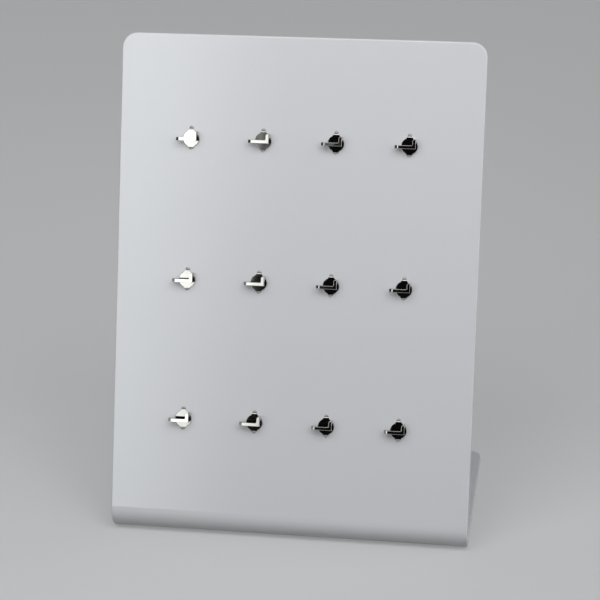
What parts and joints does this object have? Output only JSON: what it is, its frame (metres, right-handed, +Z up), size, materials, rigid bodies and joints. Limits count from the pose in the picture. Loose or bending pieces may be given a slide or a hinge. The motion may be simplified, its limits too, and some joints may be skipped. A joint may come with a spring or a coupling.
{
  "type": "pendant display stand",
  "caption": "Leaning white acrylic panel, bent from one sheet with its flat foot, carrying rows of small chrome hooks for pendants.",
  "frame": {"origin": "on the standing surface, under the middle of the stand's box", "axes": "+X to the viewer's right, +Y to the back, along the foot, +Z up; the panel faces -Y and leans back by 15 degrees"},
  "size_m": [0.1906, 0.124, 0.2579],
  "materials": {
    "white_acrylic": "gloss",
    "bright_chrome": "mirror polished"
  },
  "bodies": {
    "root": {"acrylic_sheet": "white_acrylic", "hook_top_1": "bright_chrome", "hook_top_2": "bright_chrome", "hook_top_3": "bright_chrome", "hook_top_4": "bright_chrome", "hook_middle_1": "bright_chrome", "hook_middle_2": "bright_chrome", "hook_middle_3": "bright_chrome", "hook_middle_4": "bright_chrome", "hook_bottom_1": "bright_chrome", "hook_bottom_2": "bright_chrome", "hook_bottom_3": "bright_chrome", "hook_bottom_4": "bright_chrome"}
  },
  "joints": []
}
